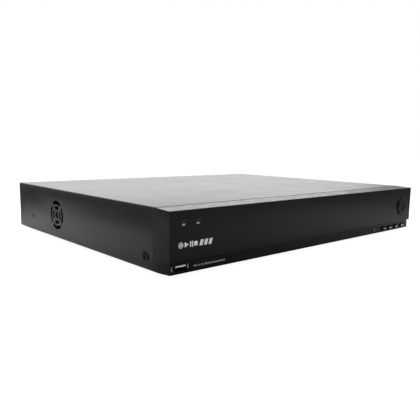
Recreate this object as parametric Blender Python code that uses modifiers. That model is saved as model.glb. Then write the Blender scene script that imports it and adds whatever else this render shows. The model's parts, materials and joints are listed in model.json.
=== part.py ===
"""Digital video recorder: a sheet-steel case with a moulded front, its boards, drive, fan and sockets.

Run with: blender --background --python part.py
Metres, +Z up. The front faces -Y, and the origin is on the ground under the middle of the part.
Distances are given from three datums: `left` from the left edge, `back` from the front face and
`up` from the underside of the case.
"""
import math

import bmesh
import bpy
from mathutils import Matrix, Vector

MM = 0.001

# Case
CASE_W, CASE_D, CASE_H = 420 * MM, 335 * MM, 57 * MM
FOOT_H = 4 * MM
JACK_OUT = 11 * MM                  # camera jacks stand out behind the case by this
PAD_OUT = 1.8 * MM                  # the keypad stands out in front of the plate by this
SHEET = 1.0 * MM
GAP = 0.3 * MM                      # clearance between pieces that touch
SEAM = 0.12 * MM                    # joint between the cover's front edges and the bezel
FOLD_R = 1.4 * MM
DIMPLE = 1.4 * MM                   # depth of the pressed seats of the front side screws
REAR_SCREW_LEFTS = (60 * MM, 210 * MM, 360 * MM)
CLIP_LEFTS = (60 * MM, 160 * MM, 260 * MM, 330 * MM)
FLANGE_H = 24 * MM                  # height of the tray's side flanges
LIP = 10 * MM                       # rear lip of the cover

# Front
BEZEL_D, BEZEL_WALL = 24.2 * MM, 1.8 * MM
BEZEL_FACE = 2.0 * MM               # the strip under the plate is set back by this
BEZEL_TOP_FRONT, BEZEL_TOP_BACK = 55.8 * MM, 57.0 * MM
LIP_FRONT = 20.5 * MM               # the cover's top runs forward to here
PLATE_T, PLATE_LOW = 1.7 * MM, 11.2 * MM
TAPER, TAPER_BACK = 2 * MM, 13.5 * MM   # the foot under the plate narrows by this, from this far back
NAV_LEFT, NAV_UP, NAV_R = 395.5 * MM, 31.8 * MM, 12.2 * MM
RIB, SLIT = 0.6 * MM, 0.85 * MM     # half widths of a rib between quadrant keys, and of its slit
KEY_W, KEY_H, KEY_UP, KEY_PITCH = 10.8 * MM, 5 * MM, 4.5 * MM, 16 * MM
KEY_LEFT = 354.5 * MM               # centre of the first function key
LED_LEFTS, LED_UP = (15 * MM, 31 * MM), 43.4 * MM
LED_W, LED_H = 3.5 * MM, 1.6 * MM
USB_LEFT, USB_UP, USB_W, USB_H = 13.65 * MM, 5.2 * MM, 13.2 * MM, 5.7 * MM
BOARD_T = 1.6 * MM
FRONT_BOARD_BACK = 9.4 * MM
IR_LEFT, IR_UP = 60 * MM, 34 * MM
RIBBON_LEFT, RIBBON_W = 360 * MM, 24 * MM

# Side vent, fan and side screws
FAN_BACK, FAN_UP, FAN_SIZE, FAN_T = 220 * MM, 26.5 * MM, 40 * MM, 15 * MM
VENT_RINGS = ((12.8 * MM, 16.9 * MM), (6.4 * MM, 10.6 * MM))
VENT_HUB_R, VENT_BRIDGE = 4.0 * MM, 3.6 * MM
FRONT_SCREW_BACK, FRONT_SCREW_UP = 34.8 * MM, 11 * MM
REAR_SCREW_BACK, REAR_SCREW_UP = 291 * MM, 17.8 * MM

# Inside and rear
DECK_UP = 7.3 * MM                  # underside of the main board
MAIN_BOARD = ((110 * MM, 170 * MM), (380 * MM, 331.4 * MM))
DRIVE_LOW, DRIVE_SIZE = (25 * MM, 40 * MM, 4.8 * MM), (147 * MM, 101.6 * MM, 26.1 * MM)
BNC_PITCH, BNC_LOW_UP, BNC_ROW = 16 * MM, 19.2 * MM, 20 * MM
PORT_X = {"switch": 186 * MM, "power": 160 * MM, "terminal": 131 * MM, "network": 100 * MM,
          "usb": 76 * MM, "vga": 42 * MM, "hdmi": 12 * MM, "audio": -12 * MM, "bnc": -64 * MM}
ROCKER_TILT = math.radians(10)

FRONT_Y = PAD_OUT - (CASE_D + JACK_OUT + PAD_OUT) / 2
TRAY_HALF_W = CASE_W / 2 - SHEET - DIMPLE - GAP
TRAY_FRONT = BEZEL_D + GAP
TRAY_BACK = CASE_D - SHEET - GAP
TRAY_TOP = CASE_H - SHEET - 0.4 * MM
PORT_FACE = CASE_D - 0.5 * MM       # most sockets end here
DECK_TOP = DECK_UP + BOARD_T + GAP

LOOKS = {                           # colour, roughness, metallic
    "black_paint": ((0.020, 0.021, 0.022), 0.38, 0.0),
    "zinc": ((0.55, 0.56, 0.56), 0.35, 1.0),
    "black_screw": ((0.030, 0.030, 0.032), 0.40, 1.0),
    "bezel_plastic": ((0.018, 0.018, 0.019), 0.45, 0.0),
    "gloss_black": ((0.010, 0.011, 0.011), 0.10, 0.0),
    "key_plastic": ((0.012, 0.012, 0.013), 0.40, 0.0),
    "lens": ((0.85, 0.88, 0.88), 0.20, 0.0),
    "rubber": ((0.030, 0.030, 0.030), 0.80, 0.0),
    "steel": ((0.60, 0.60, 0.60), 0.28, 1.0),
    "dark_steel": ((0.12, 0.12, 0.12), 0.35, 1.0),
    "nickel": ((0.72, 0.70, 0.66), 0.22, 1.0),
    "white_plastic": ((0.80, 0.80, 0.78), 0.45, 0.0),
    "black_plastic": ((0.020, 0.020, 0.020), 0.50, 0.0),
    "green_board": ((0.020, 0.160, 0.060), 0.45, 0.0),
    "green_plastic": ((0.040, 0.350, 0.120), 0.50, 0.0),
    "blue_plastic": ((0.030, 0.080, 0.350), 0.50, 0.0),
    "aluminium": ((0.70, 0.70, 0.72), 0.35, 1.0),
    "cable": ((0.300, 0.020, 0.020), 0.50, 0.0),
}

TURNS = {"up": Matrix.Identity(4), "front": Matrix.Rotation(math.pi / 2, 4, "X"),
         "rear": Matrix.Rotation(-math.pi / 2, 4, "X"), "left": Matrix.Rotation(-math.pi / 2, 4, "Y"),
         "right": Matrix.Rotation(math.pi / 2, 4, "Y"),
         "across": Matrix(((0, 0, 1), (1, 0, 0), (0, 1, 0))).to_4x4()}


# Tools -----------------------------------------------------------------------------------------

def at(left=CASE_W / 2, back=0.0, up=0.0):
    """A point from its distances to the left edge, the front face and the case's underside."""
    return Vector((left - CASE_W / 2, FRONT_Y + back, FOOT_H + up))


def start():
    """An empty scene with one collection for the parts and one for the cutters."""
    for item in list(bpy.data.objects):
        bpy.data.objects.remove(item)
    groups = []
    for name in ("video_recorder", "cutters"):
        groups.append(bpy.data.collections.new(name))
        bpy.context.scene.collection.children.link(groups[-1])
    return groups


PARTS, CUTTERS = start()


def look(name):
    """The material of that name, made when it is first asked for."""
    if name in bpy.data.materials:
        return bpy.data.materials[name]
    colour, roughness, metallic = LOOKS[name]
    material = bpy.data.materials.new(name)
    material.use_nodes = True
    shader = material.node_tree.nodes["Principled BSDF"]
    shader.inputs["Base Color"].default_value = (*colour, 1)
    shader.inputs["Roughness"].default_value = roughness
    shader.inputs["Metallic"].default_value = metallic
    material.diffuse_color = (*colour, 1)
    return material


def add(name, mesh, finish, matrix=Matrix.Identity(4)):
    """Puts a mesh in the scene, as a part with a finish or, without one, as a hidden cutter."""
    item = bpy.data.objects.new(name, mesh)
    item.matrix_world = matrix
    if finish:
        mesh.materials.append(look(finish))
        PARTS.objects.link(item)
    else:
        item.hide_render = True
        item.display_type = "WIRE"
        CUTTERS.objects.link(item)
    return item


def box(name, low, high, finish=None):
    """A box between two corners, with its origin in its middle."""
    low, high = Vector(low), Vector(high)
    bm = bmesh.new()
    bmesh.ops.create_cube(bm, size=1.0, matrix=Matrix.Diagonal((*(high - low), 1)))
    mesh = bpy.data.meshes.new(name)
    bm.to_mesh(mesh)
    bm.free()
    return add(name, mesh, finish, Matrix.Translation((low + high) / 2))


def smooth(mesh):
    mesh.shade_smooth()
    mesh.set_sharp_from_angle(angle=math.radians(35))


def mesh_of(curve_object):
    """The welded mesh of a curve object, which is then removed."""
    PARTS.objects.link(curve_object)
    bpy.context.view_layer.update()
    graph = bpy.context.evaluated_depsgraph_get()
    mesh = bpy.data.meshes.new_from_object(curve_object.evaluated_get(graph))
    bm = bmesh.new()
    bm.from_mesh(mesh)
    bmesh.ops.remove_doubles(bm, verts=bm.verts, dist=1e-6)
    bmesh.ops.recalc_face_normals(bm, faces=bm.faces)
    bm.to_mesh(mesh)
    bm.free()
    mesh.materials.clear()
    bpy.data.objects.remove(curve_object)
    return mesh


def prism(name, outline, depth, centre, turn, finish=None):
    """A flat outline about `centre`, extruded by `depth`: along Y for "front", along X for "across"."""
    curve = bpy.data.curves.new(name, "CURVE")
    curve.dimensions = "2D"
    curve.fill_mode = "BOTH"
    curve.extrude = depth / 2
    spline = curve.splines.new("POLY")
    spline.points.add(len(outline) - 1)
    for point, (u, v) in zip(spline.points, outline):
        point.co = (u, v, 0, 1)
    spline.use_cyclic_u = True
    mesh = mesh_of(bpy.data.objects.new(name, curve))
    smooth(mesh)
    return add(name, mesh, finish, Matrix.Translation(centre) @ TURNS[turn])


def turned(name, profile, centre, turn, finish=None, steps=24, ring=False):
    """A round piece from its profile of (radius, height) points, outside read from top to bottom."""
    bm = bmesh.new()
    points = [bm.verts.new((radius, 0, height)) for radius, height in profile]
    for one, two in zip(points, points[1:]):
        bm.edges.new((one, two))
    if ring:
        bm.edges.new((points[-1], points[0]))
    mesh = bpy.data.meshes.new(name)
    bm.to_mesh(mesh)
    bm.free()
    item = add(name, mesh, finish, Matrix.Translation(centre) @ TURNS[turn])
    screw = item.modifiers.new("Turn", "SCREW")
    screw.steps = screw.render_steps = steps
    screw.use_merge_vertices = True
    screw.merge_threshold = 1e-5
    screw.use_smooth_shade = True
    return item


def rod(name, radius, length, centre, turn, finish=None, steps=24):
    """A plain cylinder, `centre` in its middle."""
    half = length / 2
    return turned(name, ((0, half), (radius, half), (radius, -half), (0, -half)),
                  centre, turn, finish, steps)


def tube(name, inner, outer, length, centre, turn, finish=None, steps=48):
    """A plain ring, `centre` in its middle."""
    half = length / 2
    profile = ((inner, half), (outer, half), (outer, -half), (inner, -half))
    return turned(name, profile, centre, turn, finish, steps, ring=True)


def combine(item, tool, operation):
    change = item.modifiers.new(tool.name, "BOOLEAN")
    change.operation = operation
    change.object = tool
    return item


def cut(item, *tools):
    for tool in tools:
        combine(item, tool, "DIFFERENCE")
    return item


def join(item, *tools):
    for tool in tools:
        combine(item, tool, "UNION")
    return item


def bevel(item, width, segments=2):
    edge = item.modifiers.new("Edges", "BEVEL")
    edge.width = width
    edge.segments = segments
    edge.limit_method = "ANGLE"
    edge.angle_limit = math.radians(40)
    return item


def rounded(width, height, radius, steps=4):
    """The outline of a rectangle with round corners, about its middle."""
    outline = []
    for side_u, side_v, begin in ((1, 1, 0), (-1, 1, 90), (-1, -1, 180), (1, -1, 270)):
        middle_u, middle_v = side_u * (width / 2 - radius), side_v * (height / 2 - radius)
        for i in range(steps + 1):
            angle = math.radians(begin + 90 * i / steps)
            outline.append((middle_u + radius * math.cos(angle), middle_v + radius * math.sin(angle)))
    return outline


def circle(radius, steps):
    return [(radius * math.cos(2 * math.pi * i / steps), radius * math.sin(2 * math.pi * i / steps))
            for i in range(steps)]


def slots(name, first_low, first_high, step, count):
    """A row of box cutters in one object."""
    row = box(name, first_low, first_high)
    array = row.modifiers.new("Row", "ARRAY")
    array.use_relative_offset = False
    array.use_constant_offset = True
    array.constant_offset_displace = step
    array.count = count
    return row


def smooth_path(points, per_span):
    """Points along a Catmull-Rom curve through the given ones."""
    points = [Vector(p) for p in points]
    ends = [2 * points[0] - points[1], *points, 2 * points[-1] - points[-2]]
    path = []
    for a, b, c, d in zip(ends, ends[1:], ends[2:], ends[3:]):
        for i in range(per_span):
            t = i / per_span
            path.append(0.5 * (2 * b + (c - a) * t + (2 * a - 5 * b + 4 * c - d) * t ** 2
                               + (3 * b - 3 * c + d - a) * t ** 3))
    path.append(points[-1])
    return path


# Case ------------------------------------------------------------------------------------------

def open_shell(name, low, high, open_sides, folds, finish):
    """A sheet shell inside a box: the sides in open_sides are missing, edges in folds are rounded.

    A side is an outward direction, and a fold is the pair of sides that it joins.
    """
    low, high = Vector(low), Vector(high)
    bm = bmesh.new()
    bmesh.ops.create_cube(bm, size=1.0, matrix=Matrix.Diagonal((*(high - low), 1)))
    sides = {tuple(round(n) for n in face.normal): face for face in bm.faces}
    edges = [edge for pair in folds for edge in sides[pair[0]].edges if edge in sides[pair[1]].edges[:]]
    bmesh.ops.delete(bm, geom=[sides[side] for side in open_sides], context="FACES_ONLY")
    bmesh.ops.bevel(bm, geom=edges, offset=FOLD_R, segments=3, profile=0.5, affect="EDGES")
    mesh = bpy.data.meshes.new(name)
    bm.to_mesh(mesh)
    bm.free()
    item = add(name, mesh, finish, Matrix.Translation((low + high) / 2))
    wall = item.modifiers.new("Sheet", "SOLIDIFY")
    wall.thickness = SHEET
    wall.offset = -1
    wall.use_even_offset = True
    return item


def vent_cutters():
    """Two rings of arc slots with diagonal bridges, and the hub hole, through the cover's left side."""
    centre = at(0, FAN_BACK, FAN_UP)
    tools = []
    for i, (inner, outer) in enumerate(VENT_RINGS):
        ring = tube(f"vent_ring_{i}", inner, outer, 8 * MM, centre, "left")
        for j, angle in enumerate((45, 135)):
            bar = box(f"vent_bar_{i}_{j}", (-10 * MM, -VENT_BRIDGE / 2, -20 * MM),
                      (10 * MM, VENT_BRIDGE / 2, 20 * MM))
            bar.matrix_world = Matrix.Translation(centre) @ Matrix.Rotation(math.radians(angle), 4, "X")
            cut(ring, bar)
        tools.append(ring)
    tools.append(rod("vent_hub", VENT_HUB_R, 8 * MM, centre, "left"))
    return tools


# A conical dish with a screw hole, let into the sheet: (radius, height above the side face)
SEAT_PROFILE = [(r * MM, -depth * MM) for r, depth in
                ((1.8, 1.4), (4.3, 1.4), (5.0, 0.25), (6.2, 0.25), (6.2, 1.4), (5.4, 2.4), (1.8, 2.4))]


HALF_STEP = math.radians(9)         # keeps the dish's facets off the corners of its hole


def side_places():
    """The side screws: name, distance from the front, height, and whether it has a pressed seat."""
    return (("front", FRONT_SCREW_BACK, FRONT_SCREW_UP, True),
            ("rear", REAR_SCREW_BACK, REAR_SCREW_UP, False))


def top_cover():
    cover = open_shell("top_cover", at(0, LIP_FRONT + SEAM), at(CASE_W, CASE_D, CASE_H),
                       ((0, 0, -1), (0, -1, 0)),
                       (((0, 0, 1), (1, 0, 0)), ((0, 0, 1), (-1, 0, 0)), ((0, 0, 1), (0, 1, 0))),
                       "black_paint")
    cut(cover,
        box("cover_front_trim", at(-5 * MM, 0, -1 * MM),
            at(CASE_W + 5 * MM, BEZEL_D + SEAM, CASE_H - SHEET - 0.1 * MM)),
        box("cover_rear_window", at(LIP, TRAY_BACK - 3 * MM, -1 * MM),
            at(CASE_W - LIP, CASE_D + 3 * MM, CASE_H - LIP)))
    for side, edge in (("left", 0), ("right", CASE_W)):
        for name, back, up, pressed in side_places():
            hole_r = (5.5 if pressed else 2.4) * MM
            cut(cover, rod(f"cover_hole_{side}_{name}", hole_r, 8 * MM, at(edge, back, up), side, steps=20))
            if pressed:
                seat = turned(f"seat_{side}", SEAT_PROFILE, at(edge, back, up), side, steps=20, ring=True)
                seat.matrix_world = seat.matrix_world @ Matrix.Rotation(HALF_STEP, 4, "Z")
                join(cover, seat)
    cut(cover, *vent_cutters())
    cut(cover, slots("intake_slots", at(CASE_W - 4 * MM, 150 * MM, 14 * MM),
                     at(CASE_W + 4 * MM, 153 * MM, 42 * MM), (0, 8 * MM, 0), 12))
    for i, left in enumerate(REAR_SCREW_LEFTS):
        cut(cover, rod(f"lip_hole_{i}", 1.9 * MM, 3 * MM, at(left, CASE_D - SHEET / 2, CASE_H - 5.5 * MM),
                       "rear", steps=16))


def chassis_tray():
    """Bottom, front wall, rear wall and low side flanges, with posts for the main board."""
    tray = open_shell("chassis_tray", at(CASE_W / 2 - TRAY_HALF_W, TRAY_FRONT),
                      at(CASE_W / 2 + TRAY_HALF_W, TRAY_BACK, TRAY_TOP), ((0, 0, 1),), (), "zinc")
    far = CASE_W + 5 * MM
    cut(tray,
        box("flange_trim", at(-5 * MM, TRAY_FRONT + 3 * MM, FLANGE_H),
            at(far, TRAY_BACK - 3 * MM, CASE_H)),
        box("fan_notch", at(-5 * MM, FAN_BACK - 20.8 * MM, 4 * MM),
            at(8 * MM, FAN_BACK + 20.8 * MM, FLANGE_H + 5 * MM)),
        box("intake_notch", at(CASE_W - 8 * MM, 145 * MM, 8 * MM),
            at(far, 246 * MM, FLANGE_H + 5 * MM)),
        box("ribbon_window", at(RIBBON_LEFT - 14 * MM, TRAY_FRONT - 3 * MM, 22 * MM),
            at(RIBBON_LEFT + 14 * MM, TRAY_FRONT + 3 * MM, 34 * MM)),
        slots("floor_slots", at(240 * MM, 60 * MM, -2 * MM), at(243 * MM, 100 * MM, 3 * MM),
              (12 * MM, 0, 0), 8),
        slots("rear_slots", at(20 * MM, TRAY_BACK - 3 * MM, 16 * MM),
              at(23 * MM, TRAY_BACK + 2 * MM, 42 * MM), (7 * MM, 0, 0), 12))
    for i, left in enumerate(CLIP_LEFTS):
        cut(tray, box(f"clip_slot_{i}", at(left - 7.5 * MM, TRAY_FRONT - 3 * MM, 2.9 * MM),
                      at(left + 7.5 * MM, TRAY_FRONT + 3 * MM, 5.3 * MM)))
    for side, edge in (("left", 0), ("right", CASE_W)):
        for name, back, up, _ in side_places():
            cut(tray, rod(f"tray_hole_{side}_{name}", 1.7 * MM, 16 * MM, at(edge, back, up), side, steps=12))
    for i, left in enumerate(REAR_SCREW_LEFTS):
        cut(tray, rod(f"tray_rear_hole_{i}", 1.6 * MM, 6 * MM, at(left, TRAY_BACK, CASE_H - 5.5 * MM),
                      "rear", steps=12))
    (low_left, low_back), (high_left, high_back) = MAIN_BOARD
    for i, left in enumerate((low_left + 6 * MM, (low_left + high_left) / 2, high_left - 6 * MM)):
        for j, back in enumerate((low_back + 6 * MM, high_back - 30 * MM)):
            middle = at(left, back, DECK_UP / 2)
            join(tray, rod(f"post_{i}_{j}", 3 * MM, DECK_UP - 2 * GAP, middle, "up", steps=12))
    cut(tray, *panel_cutters())


def feet():
    profile = ((0, 3.7 * MM), (8 * MM, 3.7 * MM), (8.6 * MM, 1.2 * MM), (7.4 * MM, 0), (0, 0))
    for row, back in (("front", 50 * MM), ("rear", 295 * MM)):
        for side, left in (("left", 42 * MM), ("right", CASE_W - 42 * MM)):
            place = at(left, back)
            turned(f"foot_{row}_{side}", profile, (place.x, place.y, 0), "up", "rubber", steps=20)


def cross(arm, width):
    """The outline of a crosshead recess."""
    a, w = arm / 2, width / 2
    quarter = [(a, w), (w, w), (w, a)]
    outline = []
    for i in range(4):
        c, s = round(math.cos(i * math.pi / 2)), round(math.sin(i * math.pi / 2))
        outline += [(c * u - s * v, s * u + c * v) for u, v in quarter]
    return outline


def screw(name, finish, seat, turn, head_r, head_h, shank_r, length, angle):
    """A crosshead screw: its head stands on `seat`, and its recess is turned by `angle` degrees."""
    profile = ((0, head_h), (head_r * 0.7, head_h), (head_r, head_h * 0.55), (head_r, 0), (shank_r, 0),
               (shank_r, -length), (0, -length))
    item = turned(name, profile, seat, turn, finish, steps=16)
    recess = prism(f"{name}_recess", cross(head_r * 1.1, head_r * 0.28), head_h * 1.1, seat, "up")
    recess.matrix_world = (Matrix.Translation(seat) @ TURNS[turn] @ Matrix.Translation((0, 0, head_h))
                           @ Matrix.Rotation(math.radians(angle), 4, "Z"))
    return cut(item, recess)


def screws():
    for side, edge, inward in (("left", 0, 1), ("right", CASE_W, -1)):
        for name, back, up, pressed in side_places():
            sink = (DIMPLE - GAP) if pressed else SHEET
            seat = at(edge + inward * sink, back, up)
            screw(f"side_screw_{name}_{side}", "black_screw", seat, side, (2.9 if pressed else 2.2) * MM,
                  sink - 0.1 * MM, 1.3 * MM, 6 * MM, 17 if pressed else 52)
    for side, left, angle in zip(("left", "middle", "right"), REAR_SCREW_LEFTS, (30, 64, 11)):
        screw(f"rear_screw_{side}", "zinc", at(left, CASE_D + GAP, CASE_H - 5.5 * MM), "rear",
              3 * MM, 1.6 * MM, 1.25 * MM, 7 * MM, angle)


# Front -----------------------------------------------------------------------------------------

def front_bezel():
    """A moulded box open to the rear, with its clips, a rebate for the cover and the front openings."""
    middle = at()
    draft = 0.2 * MM
    outer = ((BEZEL_D, 0), (TAPER_BACK, 0), (BEZEL_FACE, draft), (BEZEL_FACE, BEZEL_TOP_FRONT),
             (BEZEL_D, BEZEL_TOP_BACK))
    inner_face = BEZEL_FACE + BEZEL_WALL
    floor = BEZEL_WALL - 0.2 * MM
    inner = ((BEZEL_D + 5 * MM, floor), (TAPER_BACK, floor), (inner_face, floor + draft / 2),
             (inner_face, BEZEL_TOP_FRONT - BEZEL_WALL), (BEZEL_D + 5 * MM, BEZEL_TOP_BACK - BEZEL_WALL))
    bezel = prism("front_bezel", outer, CASE_W, middle, "across", "bezel_plastic")
    for i, (end, inwards) in enumerate(((0, 1), (CASE_W, -1))):     # the foot narrows towards the front
        reach, near, back = inwards * TAPER, -1 * MM, 16.4 * MM
        slope = reach / (TAPER_BACK - BEZEL_FACE)
        wedge = [(end + slope * (TAPER_BACK - y), y) for y in (back, near)]
        wedge += [(end - inwards * 4 * MM, near), (end - inwards * 4 * MM, back)]
        cut(bezel, prism(f"foot_taper_{i}", wedge, 2 * PLATE_LOW, at(0), "up"))
    bevel(bezel, 0.4 * MM, 1)
    cut(bezel,
        prism("bezel_hollow", inner, CASE_W - 7 * MM, middle, "across"),
        box("bezel_rebate", at(-5 * MM, LIP_FRONT, CASE_H - SHEET - GAP),
            at(CASE_W + 5 * MM, BEZEL_D + 5 * MM, CASE_H + 5 * MM)),
        box("usb_opening", at(USB_LEFT - USB_W / 2 - GAP, 0, USB_UP - USB_H / 2 - GAP),
            at(USB_LEFT + USB_W / 2 + GAP, 20 * MM, USB_UP + USB_H / 2 + GAP)),
        box("ir_opening", at(IR_LEFT - 4 * MM, 0, IR_UP - 4 * MM),
            at(IR_LEFT + 4 * MM, 6 * MM, IR_UP + 4 * MM)),
        rod("bezel_nav_opening", NAV_R + 0.5 * MM, 12 * MM, at(NAV_LEFT, 0, NAV_UP), "front", steps=48))
    for i in range(4):
        cut(bezel, prism(f"key_opening_{i}", rounded(KEY_W + 1 * MM, KEY_H + 1 * MM, 2.4 * MM), 12 * MM,
                         at(KEY_LEFT + i * KEY_PITCH, 0, KEY_UP), "front"))
    cut(bezel, *led_openings("bezel"))
    step = BEZEL_D - GAP
    clip = ((19 * MM, 1 * MM), (step, 1 * MM), (step, 3.2 * MM), (33 * MM, 3.2 * MM),
            (33 * MM, 5 * MM), (19 * MM, 5 * MM))
    for i, left in enumerate(CLIP_LEFTS):
        join(bezel, prism(f"clip_{i}", clip, 14 * MM, at(left), "across"))
    join(bezel, *nav_ribs())


def nav_ribs():
    """Four ribs that hold a ring round the centre key: they fill the slits between the quadrant keys."""
    centre = at(NAV_LEFT, 0, NAV_UP)
    top, root, end = PAD_OUT - 0.1 * MM, -(BEZEL_FACE + BEZEL_WALL - 0.2 * MM), NAV_R + 1 * MM
    side = ((4.2 * MM, root), (4.2 * MM, top - 0.1 * MM), (9.8 * MM, top), (11.2 * MM, top - 0.4 * MM),
            (12 * MM, top - 1.2 * MM), (12 * MM, -BEZEL_FACE - 0.1 * MM), (end, -BEZEL_FACE - 0.1 * MM),
            (end, root))
    tools = []
    for i, sign in enumerate((-1, 1)):
        tools.append(prism(f"rib_across_{i}", [(sign * r, -out) for r, out in side], 2 * RIB, centre, "up"))
        tools.append(prism(f"rib_up_{i}", [(-out, sign * r) for r, out in side], 2 * RIB, centre, "across"))
    ring = ((3.85 * MM, top - 0.4 * MM), (4.05 * MM, top - 0.15 * MM), (4.4 * MM, top - 0.15 * MM),
            (4.6 * MM, top - 0.4 * MM), (4.6 * MM, root + 0.1 * MM), (3.85 * MM, root + 0.1 * MM))
    hub = turned("rib_hub", ring, centre, "front", steps=32, ring=True)
    hub.matrix_world = hub.matrix_world @ Matrix.Rotation(math.radians(3), 4, "Z")
    return [hub, *tools]


def led_openings(owner):
    return [prism(f"{owner}_led_opening_{i}", rounded(LED_W + GAP, LED_H + GAP, 0.75 * MM), 12 * MM,
                  at(left, 0, LED_UP), "front") for i, left in enumerate(LED_LEFTS)]


def front_plate():
    plate = bevel(box("front_plate", at(0, 0, PLATE_LOW), at(CASE_W, PLATE_T, BEZEL_TOP_FRONT),
                      "gloss_black"), 0.4 * MM)
    cut(plate, rod("plate_nav_opening", NAV_R + 0.4 * MM, 8 * MM, at(NAV_LEFT, 0, NAV_UP), "front",
                   steps=48), *led_openings("plate"))


def led_lenses():
    front, rear = 0.15 * MM, FRONT_BOARD_BACK - GAP
    for name, left in zip(("power", "record"), LED_LEFTS):
        prism(f"led_lens_{name}", rounded(LED_W, LED_H, 0.6 * MM), rear - front,
              at(left, (front + rear) / 2, LED_UP), "front", "lens")


def nav_keys():
    """Four quadrant keys and a centre key, each with a flange behind the bezel's wall."""
    wall = BEZEL_FACE + BEZEL_WALL + GAP
    rear = wall + 1.2 * MM
    hub_r, crest = 4.9 * MM, PAD_OUT
    profile = ((hub_r, crest - 0.4 * MM), (9.4 * MM, crest), (10.4 * MM, crest - 0.06 * MM),
               (11.2 * MM, crest - 0.35 * MM), (11.8 * MM, crest - 0.8 * MM), (NAV_R, crest - 1.4 * MM),
               (NAV_R, -wall), (NAV_R + 1.6 * MM, -wall), (NAV_R + 1.6 * MM, -rear), (5.2 * MM, -rear),
               (5.2 * MM, -3.2 * MM), (hub_r, -3.2 * MM))
    centre = at(NAV_LEFT, 0, NAV_UP)
    for name, x, z in (("upper_left", -1, 1), ("upper_right", 1, 1), ("lower_left", -1, -1),
                       ("lower_right", 1, -1)):
        key = turned(f"nav_key_{name}", profile, centre, "front", "key_plastic", steps=48, ring=True)
        near, far = SLIT, 20 * MM
        corner_a = centre + Vector((x * near, -5 * MM, z * near))
        corner_b = centre + Vector((x * far, 10 * MM, z * far))
        low = [min(a, b) for a, b in zip(corner_a, corner_b)]
        high = [max(a, b) for a, b in zip(corner_a, corner_b)]
        combine(key, box(f"quadrant_{name}", low, high), "INTERSECT")
    centre_profile = ((0, crest - 0.35 * MM), (2.2 * MM, crest - 0.2 * MM), (3.0 * MM, crest - 0.25 * MM),
                      (3.5 * MM, crest - 0.7 * MM), (3.5 * MM, -wall), (4.8 * MM, -wall),
                      (4.8 * MM, -rear), (0, -rear))
    turned("nav_key_centre", centre_profile, centre, "front", "key_plastic", steps=32)


def function_keys():
    """Oval caps with a flange behind the bezel's wall."""
    wall = BEZEL_FACE + BEZEL_WALL + GAP
    front = 0.25 * MM
    for i in range(4):
        left = KEY_LEFT + i * KEY_PITCH
        cap = prism(f"function_key_{i + 1}", rounded(KEY_W, KEY_H, 2.2 * MM, 5), wall + 1 * MM - front,
                    at(left, (front + wall + 1 * MM) / 2, KEY_UP), "front", "key_plastic")
        bevel(cap, 0.35 * MM)
        join(cap, box(f"key_flange_{i}", at(left - 6.2 * MM, wall, KEY_UP - KEY_H / 2),
                      at(left + 6.2 * MM, wall + 1.2 * MM, KEY_UP + 3.7 * MM)))


def usb_front():
    front, depth, wall = BEZEL_FACE + 0.1 * MM, 14 * MM, 0.3 * MM
    shell = prism("usb_front_shell", rounded(USB_W, USB_H, 0.6 * MM), depth,
                  at(USB_LEFT, front + depth / 2, USB_UP), "front", "dark_steel")
    cut(shell, prism("usb_front_hollow", rounded(USB_W - 2 * wall, USB_H - 2 * wall, 0.3 * MM), depth,
                     at(USB_LEFT, front + depth / 2 - wall, USB_UP), "front"))
    tongue = ((2.6, 6.1), (2.6, 7.4), (15.4, 7.4), (15.4, 3.2), (12.8, 3.2), (12.8, 6.1))
    prism("usb_front_tongue", [(y * MM, z * MM) for y, z in tongue], 11.1 * MM, at(USB_LEFT), "across",
          "white_plastic")


def front_electronics():
    board = ((-204, 10), (128, 10), (128, 3.2), (204, 3.2), (204, 50), (-204, 50))
    prism("front_board", [(x * MM, z * MM) for x, z in board], BOARD_T,
          at(back=FRONT_BOARD_BACK + BOARD_T / 2), "front", "green_board")
    bevel(box("ir_receiver", at(IR_LEFT - 3 * MM, 5.2 * MM, IR_UP - 3.5 * MM),
              at(IR_LEFT + 3 * MM, FRONT_BOARD_BACK - GAP, IR_UP + 3.5 * MM), "black_plastic"), 0.8 * MM)


def front_ribbon():
    """A flat ribbon from the front board, through the tray's window, down to the main board."""
    route = ((11.4, 28), (20, 28), (40, 27), (80, 17), (120, 12), (150, 15), (168, 20), (175, 16), (177, 9.4))
    path = smooth_path([(0, back * MM, up * MM) for back, up in route], 4)
    bm = bmesh.new()
    line = [bm.verts.new((-RIBBON_W / 2, p.y, p.z)) for p in path]
    edges = [bm.edges.new(pair) for pair in zip(line, line[1:])]
    wide = bmesh.ops.extrude_edge_only(bm, edges=edges)["geom"]
    bmesh.ops.translate(bm, vec=(RIBBON_W, 0, 0), verts=[v for v in wide if isinstance(v, bmesh.types.BMVert)])
    mesh = bpy.data.meshes.new("front_ribbon")
    bm.to_mesh(mesh)
    bm.free()
    ribbon = add("front_ribbon", mesh, "white_plastic", Matrix.Translation(at(RIBBON_LEFT)))
    sheet = ribbon.modifiers.new("Sheet", "SOLIDIFY")
    sheet.thickness = 0.4 * MM
    sheet.offset = 0


# Inside ----------------------------------------------------------------------------------------

def main_board():
    (low_left, low_back), (high_left, high_back) = MAIN_BOARD
    box("main_board", at(low_left, low_back, DECK_UP), at(high_left, high_back, DECK_UP + BOARD_T),
        "green_board")
    chip_left, chip_back, chip_h = 250 * MM, 240 * MM, 1.8 * MM
    box("processor", at(chip_left - 13 * MM, chip_back - 13 * MM, DECK_TOP),
        at(chip_left + 13 * MM, chip_back + 13 * MM, DECK_TOP + chip_h), "black_plastic")
    heatsink(at(chip_left, chip_back, DECK_TOP + chip_h + GAP))
    cell = at(160 * MM, 195 * MM, DECK_TOP + 1.6 * MM)
    bevel(rod("coin_cell", 10 * MM, 3.2 * MM, cell, "up", "steel", steps=32), 0.3 * MM, 1)


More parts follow.
